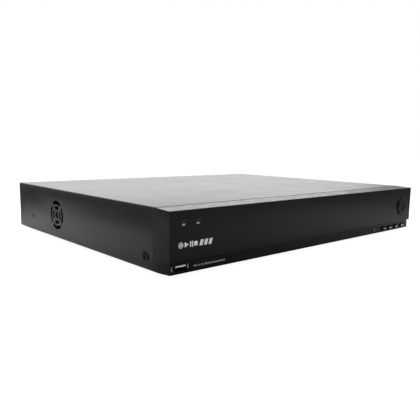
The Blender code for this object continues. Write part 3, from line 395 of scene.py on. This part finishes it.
def make_looks():
    return {
        "cover_paint": painted("cover_paint", (0.0075, 0.0078, 0.0082), (0.040, 0.040, 0.042), 0.23),
        "zinc_sheet": zinc_sheet(),
        "bezel_plastic": moulded("bezel_plastic", (0.0022, 0.0023, 0.0025), 0.21, specular=0.35),
        "gloss_plate": glossy_plate(),
        "key_plastic": moulded("key_plastic", (0.0030, 0.0031, 0.0033), 0.26, 3200.0, 0.32),
        "black_screw": turned_metal("black_screw", (0.070, 0.070, 0.073), 0.42),
        "lens": lens(),
        "rubber": rubber(),
        "dark_steel": turned_metal("dark_steel", (0.11, 0.11, 0.11), 0.36),
        "socket_steel": turned_metal("socket_steel", (0.60, 0.60, 0.59), 0.26),
        "nickel": turned_metal("nickel", (0.70, 0.68, 0.63), 0.18),
        "gold": turned_metal("contact_gold", (0.83, 0.60, 0.24), 0.24),
        "white_plastic": moulded("white_plastic", (0.74, 0.74, 0.72), 0.42),
        "black_plastic": moulded("black_plastic", (0.0040, 0.0041, 0.0043), 0.50, specular=0.2),
        "circuit_board": circuit_board(),
        "green_plastic": moulded("green_plastic", (0.020, 0.230, 0.075), 0.44),
        "blue_plastic": moulded("blue_plastic", (0.015, 0.045, 0.240), 0.42),
        "red_plastic": moulded("red_plastic", (0.450, 0.018, 0.015), 0.38),
        "amber_lens": moulded("amber_lens", (0.600, 0.260, 0.020), 0.20),
        "drive_casting": cast_metal(),
        "aluminium": turned_metal("fin_aluminium", (0.66, 0.66, 0.68), 0.34),
        "cable": moulded("cable_jacket", (0.300, 0.015, 0.012), 0.42),
        "ink_white": ink("ink_white", (0.88, 0.89, 0.89)),
        "ink_pale": ink("ink_pale", (0.42, 0.43, 0.43)),
        "ink_grey": ink("ink_grey", (0.28, 0.29, 0.29)),
        "ink_dim": ink("ink_dim", (0.07, 0.07, 0.07)),
    }


def smooth_by_angle():
    """Smooth faces, with sharp edges where two faces meet steeply."""
    group = bpy.data.node_groups.new("smooth_by_angle", "GeometryNodeTree")
    group.interface.new_socket("Geometry", in_out="INPUT", socket_type="NodeSocketGeometry")
    group.interface.new_socket("Geometry", in_out="OUTPUT", socket_type="NodeSocketGeometry")
    start, end = group.nodes.new("NodeGroupInput"), group.nodes.new("NodeGroupOutput")
    faces = group.nodes.new("GeometryNodeSetShadeSmooth")
    edges = group.nodes.new("GeometryNodeSetShadeSmooth")
    edges.domain = "EDGE"
    edges.inputs["Shade Smooth"].default_value = False
    angle = group.nodes.new("GeometryNodeInputMeshEdgeAngle")
    steep = group.nodes.new("FunctionNodeCompare")
    steep.inputs["B"].default_value = SHARP
    group.links.new(start.outputs[0], faces.inputs["Geometry"])
    group.links.new(faces.outputs[0], edges.inputs["Geometry"])
    group.links.new(angle.outputs["Unsigned Angle"], steep.inputs["A"])
    group.links.new(steep.outputs[0], edges.inputs["Selection"])
    group.links.new(edges.outputs[0], end.inputs[0])
    return group


def finish_nodes():
    """Each CAD node takes the look of its slot in the record, rounded edges and smooth shading."""
    smooth = smooth_by_angle()
    for part in frame["record"]["subparts"]:
        node = NODES[part["node"]]
        mesh = node.data
        mesh.materials.clear()
        mesh.materials.append(LOOKS[part["material_slot"]])
        if "custom_normal" in mesh.attributes:
            mesh.attributes.remove(mesh.attributes["custom_normal"])
        weld = node.modifiers.new("weld", "WELD")
        weld.merge_threshold = 0.002 * MM
        if part["node"] in ROUNDED:
            plain = node.modifiers.new("plain", "DECIMATE")
            plain.decimate_type = "DISSOLVE"
            plain.angle_limit = math.radians(1)
            soften = node.modifiers.new("soften", "BEVEL")
            soften.width, soften.segments = ROUNDED[part["node"]] * MM, 2
            soften.limit_method, soften.angle_limit = "ANGLE", math.radians(40)
        shade = node.modifiers.new("shade", "NODES")
        shade.node_group = smooth
        if part["node"] in ROUNDED:
            flat = node.modifiers.new("flat", "WEIGHTED_NORMAL")
            flat.keep_sharp = True


# Mesh tools --------------------------------------------------------------------------------------

# Local (right, up, out) axes of a face seen from outside
FACING_FRONT = Matrix(((1, 0, 0), (0, 0, -1), (0, 1, 0))).to_4x4()
FACING_REAR = Matrix(((-1, 0, 0), (0, 0, 1), (0, 1, 0))).to_4x4()
FACING_UP = Matrix.Identity(4)


def on(facing, *place):
    return Matrix.Translation(Vector(place)) @ facing


def slab(bm, outline, thickness, matrix, hole=None):
    """An outline given thickness outwards. A hole has as many points as the outline."""
    def loop(points, out):
        return [bm.verts.new(matrix @ Vector((u, v, out))) for u, v in points]

    def band(one, two):
        for i in range(len(one)):
            j = (i + 1) % len(one)
            bm.faces.new((one[i], one[j], two[j], two[i]))

    back, face = loop(outline, 0), loop(outline, thickness)
    band(back, face)
    if hole:
        hole_back, hole_face = loop(hole, 0), loop(hole, thickness)
        band(hole_face, hole_back)
        band(face, hole_face)
        band(hole_back, back)
    else:
        bm.faces.new(face)
        bm.faces.new(back[::-1])


def lathe(bm, profile, matrix, steps=24, ring=False):
    """A turned solid from (radius, height) points. A ring's profile is closed and stays off the axis."""
    loops = []
    for radius, height in profile:
        if radius == 0:
            loops.append([bm.verts.new(matrix @ Vector((0, 0, height)))])
            continue
        loops.append([bm.verts.new(matrix @ Vector((radius * math.cos(2 * math.pi * i / steps),
                                                    radius * math.sin(2 * math.pi * i / steps), height)))
                      for i in range(steps)])
    pairs = list(zip(loops, loops[1:])) + ([(loops[-1], loops[0])] if ring else [])
    for one, two in pairs:
        for i in range(steps):
            j = (i + 1) % steps
            corners = (one[i % len(one)], one[j % len(one)], two[j % len(two)], two[i % len(two)])
            bm.faces.new(list(dict.fromkeys(corners)))


def block(bm, low, high, matrix=Matrix.Identity(4), round_off=0.0):
    """A box between two corners, its edges rounded off."""
    low, high = Vector(low), Vector(high)
    made = bmesh.ops.create_cube(bm, size=1.0, matrix=matrix @ Matrix.Translation((low + high) / 2)
                                 @ Matrix.Diagonal((*(high - low), 1)))
    if round_off:
        edges = list({edge for vert in made["verts"] for edge in vert.link_edges})
        bmesh.ops.bevel(bm, geom=edges, offset=round_off, segments=2, profile=0.5, affect="EDGES")


def circle(radius, steps=24, u=0.0, v=0.0):
    return [(u + radius * math.cos(2 * math.pi * i / steps), v + radius * math.sin(2 * math.pi * i / steps))
            for i in range(steps)]


def rounded(width, height, radius, u=0.0, v=0.0, steps=4):
    outline = []
    for side_u, side_v, begin in ((1, 1, 0), (-1, 1, 90), (-1, -1, 180), (1, -1, 270)):
        for i in range(steps + 1):
            angle = math.radians(begin + 90 * i / steps)
            outline.append((u + side_u * (width / 2 - radius) + radius * math.cos(angle),
                            v + side_v * (height / 2 - radius) + radius * math.sin(angle)))
    return outline


def piece(name, bm, look, body="case"):
    """Finishes a mesh as a piece that rides on a body."""
    bmesh.ops.recalc_face_normals(bm, faces=bm.faces)
    mesh = bpy.data.meshes.new(name)
    bm.to_mesh(mesh)
    bm.free()
    mesh.shade_smooth()
    mesh.set_sharp_from_angle(angle=SHARP)
    mesh.materials.append(LOOKS[look])
    item = bpy.data.objects.new(name, mesh)
    bpy.context.scene.collection.objects.link(item)
    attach(item, body)


# Front -------------------------------------------------------------------------------------------

def mm(points):
    return [(u * MM, v * MM) for u, v in points]


def plate_mark():
    """Plain shapes in place of the printed name: four recorder symbols and three slanted bars."""
    bm = bmesh.new()
    tall, base = 5.2, 23.0
    place = on(FACING_FRONT, LEFT, FRONT, BASE + base * MM)
    slab(bm, mm(circle(2.6, 32, 12.0, tall / 2)), PRINT, place, mm(circle(1.9, 32, 12.0, tall / 2)))
    slab(bm, mm(circle(1.1, 24, 12.0, tall / 2)), PRINT, place)
    slab(bm, mm([(16.1, 0.2), (20.5, 2.6), (16.1, 5.0)]), PRINT, place)
    for x in (22.6, 24.8):
        slab(bm, mm(rounded(1.3, tall, 0.3, x, tall / 2)), PRINT, place)
    slab(bm, mm(rounded(3.9, 3.9, 0.4, 28.6, tall / 2)), PRINT, place)
    for i in range(3):
        x = 32.6 + 5.3 * i
        slab(bm, mm([(x, 0), (x + 3.5, 0), (x + 5.1, tall), (x + 1.6, tall)]), PRINT, place)
    piece("plate_mark", bm, "ink_white")


def lamp_labels():
    """A row of faint dashes over each indicator window."""
    bm = bmesh.new()
    for node, dashes in (("led_lens_power", ((-1.7, 1.5), (0.1, 1.1), (1.8, 1.4))),
                         ("led_lens_record", ((-2.7, 1.8), (-0.8, 1.0), (0.9, 1.5), (2.9, 1.3)))):
        centre = middle(node)
        place = on(FACING_FRONT, centre.x, FRONT, centre.z)
        for u, width in dashes:
            slab(bm, mm(rounded(width, 0.7, 0.2, u, 3.1)), PRINT, place)
    piece("lamp_labels", bm, "ink_dim")


def strip_print():
    """A row of dashes, a bracket round the socket, and a small tick near the keys."""
    dim, bright = bmesh.new(), bmesh.new()
    place = on(FACING_FRONT, LEFT, STRIP, BASE)
    widths = random.Random(7)
    x = 27.9
    while x < 66.0:
        width = widths.uniform(0.9, 2.0)
        tall = 1.7 if widths.random() < 0.7 else 2.2
        slab(dim, mm(rounded(width, tall, 0.2, x + width / 2, 5.1)), PRINT, place)
        x += width + (1.6 if widths.random() < 0.18 else 0.5)
    slab(bright, mm(rounded(0.9, 3.8, 0.3, 21.2, 6.0)), PRINT, place)
    slab(dim, mm(rounded(0.6, 4.2, 0.25, 331.8, 4.6)), PRINT, place)
    turns = [math.radians(-70 + 14 * i) for i in range(11)]
    outer = [(4.9 - 1.8 * math.cos(t), 5.3 + 2.4 * math.sin(t)) for t in turns]
    inner = [(5.0 - 1.2 * math.cos(t), 5.3 + 1.8 * math.sin(t)) for t in reversed(turns)]
    slab(bright, mm(outer + inner), PRINT, place)
    piece("strip_dashes", dim, "ink_grey")
    piece("strip_brackets", bright, "ink_pale")


def key_icons():
    """Plain transport symbols on the function keys, made of triangles, bars, a ring and a square."""
    def arrow(tip, back):
        half = 1.25 if tip < back else -1.25
        return [(tip, 0), (back, half), (back, -half)]

    shapes = {
        1: [(arrow(-3.2, -0.2), None), (arrow(0.2, 3.2), None)],
        2: [(arrow(-0.2, -3.2), None), (arrow(3.2, 0.2), None)],
        3: [(rounded(1.0, 2.5, 0.2, -2.6), None), (rounded(1.0, 2.5, 0.2, -0.9), None),
            (arrow(3.4, 0.4), None)],
        4: [(rounded(2.6, 2.4, 0.3, -1.9), None), (circle(1.35, 24, 2.0), circle(0.6, 24, 2.0))],
    }
    for i, parts in shapes.items():
        node = f"function_key_{i}"
        low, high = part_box(node)
        place = on(FACING_FRONT, (low.x + high.x) / 2, low.y, low.z + 2.5 * MM)
        bm = bmesh.new()
        for outline, hole in parts:
            slab(bm, mm(outline), PRINT, place, mm(hole) if hole else None)
        piece(f"key_icon_{i}", bm, "ink_pale", node)


def keypad_marks():
    """A small raised arrow head moulded on each quadrant key, and a dish ring on the centre key."""
    centre = middle("nav_key_centre")
    spread = 5.9 * MM
    for name, x, z in (("upper_left", -1, 1), ("upper_right", 1, 1), ("lower_left", -1, -1),
                       ("lower_right", 1, -1)):
        node = f"nav_key_{name}"
        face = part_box(node)[0].y
        place = (on(FACING_FRONT, centre.x + x * spread, face, centre.z + z * spread)
                 @ Matrix.Rotation(math.atan2(z, x), 4, "Z"))
        bm = bmesh.new()
        slab(bm, mm([(1.5, 0), (-0.9, 1.4), (-0.5, 0), (-0.9, -1.4)]), 0.32 * MM,
             place @ Matrix.Translation((0, 0, -0.3 * MM)))
        piece(f"keypad_arrow_{name}", bm, "key_plastic", node)
    bm = bmesh.new()
    ring = [(r * MM, h * MM) for r, h in ((1.4, -0.2), (1.55, 0.03), (1.9, 0.03), (2.05, -0.2))]
    lathe(bm, ring, on(FACING_FRONT, centre.x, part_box("nav_key_centre")[0].y, centre.z), 28, True)
    piece("keypad_centre_ring", bm, "key_plastic", "nav_key_centre")


def contacts(name, place, count, pitch, width, length):
    """A row of flat gold contacts under a tongue, running inwards."""
    thick = 0.12 * MM
    bm = bmesh.new()
    for i in range(count):
        u = (i - (count - 1) / 2) * pitch
        block(bm, (u - width / 2, -thick, -length), (u + width / 2, 0, 0), place)
    piece(name, bm, "gold")


def front_usb():
    """Contacts under the tongue."""
    foot = 2.91 * MM            # how far the foot at its back reaches below the tongue
    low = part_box("usb_front_tongue")[0]
    contacts("usb_front_contacts",
             on(FACING_FRONT, middle("usb_front_tongue").x, low.y + 0.8 * MM, low.z + foot), *USB_CONTACTS)


# Rear --------------------------------------------------------------------------------------------

def nut_outline(corner_radius, turn, steps=24):
    """A hexagon with as many points as the round hole through it, given its radius over the corners."""
    outline = []
    for k in range(steps):
        angle = turn + 2 * math.pi * k / steps
        off_flat = 2 * math.pi * (k % 4) / steps - math.pi / 6
        reach = corner_radius * math.cos(math.pi / 6) / math.cos(off_flat)
        outline.append((reach * math.cos(angle), reach * math.sin(angle)))
    return outline


def jack_trim():
    """Bayonet lugs, a nut on the panel, an insulator sleeve and a contact for each camera jack."""
    for i in range(1, 9):
        low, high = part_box(f"bnc_jack_{i}")
        x, z, mouth = (low.x + high.x) / 2, (low.z + high.z) / 2, high.y
        metal = bmesh.new()
        for side in (-1, 1):
            lug = on(FACING_REAR, x, mouth - 3.4 * MM, z) @ Matrix.Rotation(side * math.pi / 2, 4, "Y")
            lathe(metal, mm([(0, 4.5), (1.0, 4.5), (1.0, 5.7), (0.8, 5.9), (0, 5.9)]), lug, 16)
        slab(metal, nut_outline(7.5 * MM, math.radians(17 * i)), 1.5 * MM,
             on(FACING_REAR, x, PANEL + 0.1 * MM, z), circle(6.3 * MM, 24))
        place = on(FACING_REAR, x, mouth, z)
        lathe(metal, mm([(5.0, -1.0), (5.0, -0.7), (4.86, -0.6), (4.86, -1.1)]), place, 24, True)
        piece(f"bnc_trim_{i}", metal, "nickel")
        sleeve = bmesh.new()
        lathe(sleeve, mm([(1.65, -7.2), (1.65, -3.3), (2.5, -3.3), (2.5, -7.2)]), place, 20, True)
        piece(f"bnc_insulator_{i}", sleeve, "white_plastic")
        tip = bmesh.new()
        lathe(tip, mm([(0.45, -3.1), (0.45, -2.7), (1.0, -2.7), (1.1, -3.1)]), place, 16, True)
        piece(f"bnc_contact_{i}", tip, "gold")


def audio_trim():
    """Coloured rings at the sleeves' roots and an insulator in each mouth."""
    low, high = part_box("audio_block")
    x = (low.x + high.x) / 2
    for name, look, up in (("low", "red_plastic", 17.0), ("high", "white_plastic", 31.0)):
        bm = bmesh.new()
        lathe(bm, mm([(4.2, 0.1), (4.2, 1.3), (5.4, 1.3), (5.8, 0.9), (5.8, 0.1)]),
              on(FACING_REAR, x, PANEL, BASE + up * MM), 28, True)
        lathe(bm, mm([(1.75, -0.4), (1.75, 0.15), (3.3, 0.15), (3.3, 0.02), (3.2, -0.4)]),
              on(FACING_REAR, x, high.y, BASE + up * MM), 24, True)
        piece(f"audio_ring_{name}", bm, look)
        shell = bmesh.new()
        lathe(shell, mm([(4.16, -7.4), (4.16, 0.1), (4.05, 0.2), (3.4, 0.2), (3.4, 0.05), (4.1, 0.0),
                         (4.1, -7.4)]),
              on(FACING_REAR, x, high.y, BASE + up * MM), 28, True)
        piece(f"audio_shell_{name}", shell, "nickel")


def vga_trim():
    """A plated rim and hexagonal posts over the blue body, and flat black discs as painted shade for the contact
    holes.
    """
    low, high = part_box("vga_socket")
    x, up = (low.x + high.x) / 2, low.z + 6.3 * MM
    width, height, slope = 16.9, 8.3, 1.4

    def d_shape(grow):
        half, tall = width / 2 + grow, height / 2 + grow
        return mm([(half, tall), (-half, tall), (-half + slope, -tall), (half - slope, -tall)])

    bm = bmesh.new()
    depth = high.y - PANEL + 0.5 * MM
    slab(bm, d_shape(0.25), depth, on(FACING_REAR, x, PANEL, up), d_shape(0.02))
    piece("vga_rim", bm, "socket_steel")
    bm = bmesh.new()
    for side in (-1, 1):
        post = on(FACING_REAR, x + side * 12.5 * MM, PANEL + 0.05 * MM, up)
        slab(bm, circle(2.9 * MM, 6), 3.4 * MM, post, circle(1.4 * MM, 6))
        lathe(bm, mm([(0, 2.9), (1.45, 2.9), (1.45, 3.0), (0, 3.0)]), post, 12)
    piece("vga_posts", bm, "zinc_sheet")
    # Painted shade: thin flat black discs on the socket's face stand for the dark inside of the fifteen contact
    # holes.
    bm = bmesh.new()
    for row in range(3):
        for column in range(5):
            u = (column - 2) * 2.29 + (0.55 if row == 1 else -0.55)
            lathe(bm, mm([(0, 0), (0.5, 0), (0.5, 0.04), (0, 0.04)]),
                  on(FACING_REAR, x - u * MM, high.y, up + (1 - row) * 1.98 * MM), 12)
    piece("vga_hole_shade_discs", bm, "black_plastic")


def network_trim():
    """Eight sprung contacts inside the socket, a dark lining and two small lamps."""
    low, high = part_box("network_socket")
    x = (low.x + high.x) / 2
    bm = bmesh.new()
    for i in range(8):
        u = (i - 3.5) * 1.02 * MM
        block(bm, (u - 0.17 * MM, 0, -9.5 * MM), (u + 0.17 * MM, 0.35 * MM, -1.4 * MM),
              on(FACING_REAR, x, high.y, low.z + 3.1 * MM) @ Matrix.Rotation(math.radians(-7), 4, "X"))
    piece("network_contacts", bm, "gold")
    bm = bmesh.new()
    block(bm, (-5.8 * MM, -0.5 * MM, -11.6 * MM), (5.8 * MM, 0.0, -0.4 * MM),
          on(FACING_REAR, x, high.y, low.z + 3.1 * MM))
    piece("network_lining", bm, "black_plastic")
    for name, side, look in (("link", -1, "green_plastic"), ("traffic", 1, "amber_lens")):
        bm = bmesh.new()
        block(bm, (-1.5 * MM, -0.8 * MM, -0.2 * MM), (1.5 * MM, 0.8 * MM, 0.22 * MM),
              on(FACING_REAR, x + side * 5.6 * MM, high.y, high.z - 1.5 * MM), 0.2 * MM)
        piece(f"network_lamp_{name}", bm, look)


def rear_usb_trim():
    """Pale tongues with contacts in both openings."""
    low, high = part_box("usb_rear_socket")
    x = (low.x + high.x) / 2
    for i, up in enumerate((1.6, 9.4)):
        bm = bmesh.new()
        base = low.z + (up + 2.9) * MM
        block(bm, (-5.7 * MM, -0.12 * MM, -11.4 * MM), (5.7 * MM, 1.92 * MM, -1.35 * MM),
              on(FACING_REAR, x, high.y, base), 0.1 * MM)
        piece(f"usb_rear_tongue_{i}", bm, "white_plastic")
        contacts(f"usb_rear_contacts_{i}", on(FACING_REAR, x, high.y - 2.2 * MM, base - 0.13 * MM),
                 *USB_CONTACTS)


def hdmi_trim():
    """A dark tongue with fine contacts."""
    low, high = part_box("hdmi_socket")
    x = (low.x + high.x) / 2
    bm = bmesh.new()
    block(bm, (-5.4 * MM, -0.1 * MM, -8.2 * MM), (5.4 * MM, 1.3 * MM, -0.9 * MM),
          on(FACING_REAR, x, high.y, low.z + 2.4 * MM), 0.1 * MM)
    piece("hdmi_tongue", bm, "black_plastic")
    contacts("hdmi_contacts", on(FACING_REAR, x, high.y - 1.5 * MM, low.z + 2.3 * MM),
             9, 1.0 * MM, 0.4 * MM, 5 * MM)


def terminal_trim():
    """A clamp screw head over each wire hole, and a plated clamp plate in it."""
    low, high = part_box("terminal_block")
    x = (low.x + high.x) / 2
    screws, clamps = bmesh.new(), bmesh.new()
    for i in range(4):
        u = (i - 1.5) * 5 * MM
        place = on(FACING_REAR, x + u, high.y, low.z + 7.9 * MM) @ Matrix.Rotation(0.5 + i, 4, "Z")
        lathe(screws, mm([(0, 0.15), (1.2, 0.15), (1.35, 0.0), (0, 0)]), place, 18)
        block(clamps, (-1.5 * MM, -1.5 * MM, -5.5 * MM), (1.5 * MM, 1.5 * MM, -4.8 * MM),
              on(FACING_REAR, x + u, high.y, low.z + 4.1 * MM), 0.1 * MM)
    piece("terminal_screws", screws, "socket_steel")
    piece("terminal_clamps", clamps, "nickel")


def power_trim():
    """A plated pin and a thin bush in the power inlet."""
    low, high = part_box("power_jack")
    place = on(FACING_REAR, (low.x + high.x) / 2, high.y, low.z + 6 * MM)
    bm = bmesh.new()
    lathe(bm, mm([(0, 0.1), (0.6, 0.1), (1.05, -0.3), (1.05, -8.5), (0, -8.5)]), place, 20)
    lathe(bm, mm([(2.85, 0.12), (3.3, 0.12), (3.3, 0.0), (3.05, -0.2), (3.05, -8), (2.85, -8)]),
          place, 28, True)
    piece("power_pin", bm, "nickel")


def joint_place(name):
    return Vector(next(joint for joint in frame["joints"] if joint["name"] == name)["pos_m"])


def rocker_marks():
    """A bar and a ring on the rocker's two slopes, as it stands at rest."""
    rest = Matrix.Rotation(math.radians(-10), 4, "Z")
    slope = math.atan2(1.5, 7.8)
    bm = bmesh.new()
    for side in (-1, 1):
        place = (Matrix.Translation(joint_place("power_rocker_tilt")) @ rest
                 @ Matrix.Translation((side * 4.6 * MM, 2.8 * MM, 0))
                 @ Matrix.Rotation(side * slope, 4, "Z") @ FACING_REAR)
        if side > 0:
            slab(bm, mm(rounded(0.7, 3.4, 0.2)), PRINT * 2, place)
        else:
            slab(bm, mm(circle(1.6, 24)), PRINT * 2, place, mm(circle(1.0, 24)))
    piece("rocker_marks", bm, "ink_white", "power_rocker")


def panel_print():
    """Plain dashes under the sockets on the rear wall, and one to four ticks at each camera jack."""
    bm = bmesh.new()
    for node, width in (("network_socket", 9), ("usb_rear_socket", 7), ("vga_socket", 12), ("hdmi_socket", 8),
                        ("audio_block", 6), ("terminal_block", 14), ("power_jack", 6)):
        x = middle(node).x
        slab(bm, mm(rounded(width, 0.9, 0.3)), PRINT, on(FACING_REAR, x, PANEL, BASE + 6.4 * MM))
    for i in range(1, 9):
        centre = middle(f"bnc_jack_{i}")
        drop = 9.2 if i < 5 else -8.6
        for k in range(1 + (i - 1) % 4):
            slab(bm, mm(rounded(0.7, 1.5, 0.2, k * 1.3 - 2.0, -drop)), PRINT,
                 on(FACING_REAR, centre.x, PANEL, centre.z))
    piece("panel_print", bm, "ink_grey")


# Inside ------------------------------------------------------------------------------------------

def board_parts():
    """Capacitors, chips and headers on the main board, placed by a seeded scatter."""
    low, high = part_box("main_board")
    top = high.z + 0.05 * MM
    draw = random.Random(11)
    cans, dark, pale = bmesh.new(), bmesh.new(), bmesh.new()
    for i in range(7):
        place = on(FACING_UP, high.x - (12 + 15 * (i % 4)) * MM, low.y + (22 + 20 * (i // 4)) * MM, top)
        tall = draw.choice((9, 11, 13))
        lathe(cans, mm([(0, tall), (3.4, tall), (3.9, tall - 0.5), (3.9, 0), (0, 0)]), place, 20)
        block(dark, (-4.4 * MM, -4.4 * MM, 0), (4.4 * MM, 4.4 * MM, 1.2 * MM), place, 0.3 * MM)
    for i in range(26):
        x = draw.uniform(low.x + 8 * MM, high.x - 8 * MM)
        y = draw.uniform(low.y + 60 * MM, high.y - 34 * MM)
        if 16 * MM < x < 64 * MM and 44 * MM < y < 90 * MM:
            continue
        w, d, h = draw.choice(((5, 4, 1.4), (10, 6, 1.6), (3, 1.6, 1.0), (7, 7, 3.0)))
        block(dark if i % 3 else pale, (x - w / 2 * MM, y - d / 2 * MM, top),
              (x + w / 2 * MM, y + d / 2 * MM, high.z + h * MM), round_off=0.15 * MM)
    piece("board_capacitors", cans, "aluminium")
    piece("board_chips", dark, "black_plastic")
    piece("board_headers", pale, "white_plastic")


def fan_trim():
    """A moulded ring on the rotor's hub."""
    spin = joint_place("fan_spin")
    place = (Matrix.Translation((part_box("fan_rotor")[0].x, spin.y, spin.z))
             @ Matrix.Rotation(-math.pi / 2, 4, "Y"))
    bm = bmesh.new()
    lathe(bm, mm([(5.6, -0.2), (5.8, 0.1), (6.6, 0.1), (6.8, -0.2)]), place, 32, True)
    piece("fan_hub_ring", bm, "black_plastic", "fan_rotor")


LOOKS = make_looks()
photo_camera()
studio()
floor()
finish_nodes()
for build in (plate_mark, lamp_labels, strip_print, key_icons, keypad_marks, front_usb, jack_trim, audio_trim,
              vga_trim, network_trim, rear_usb_trim, hdmi_trim, terminal_trim, power_trim, rocker_marks,
              panel_print, board_parts, fan_trim):
    build()
bpy.context.scene.view_settings.view_transform = "Standard"

bpy.context.view_layer.update()
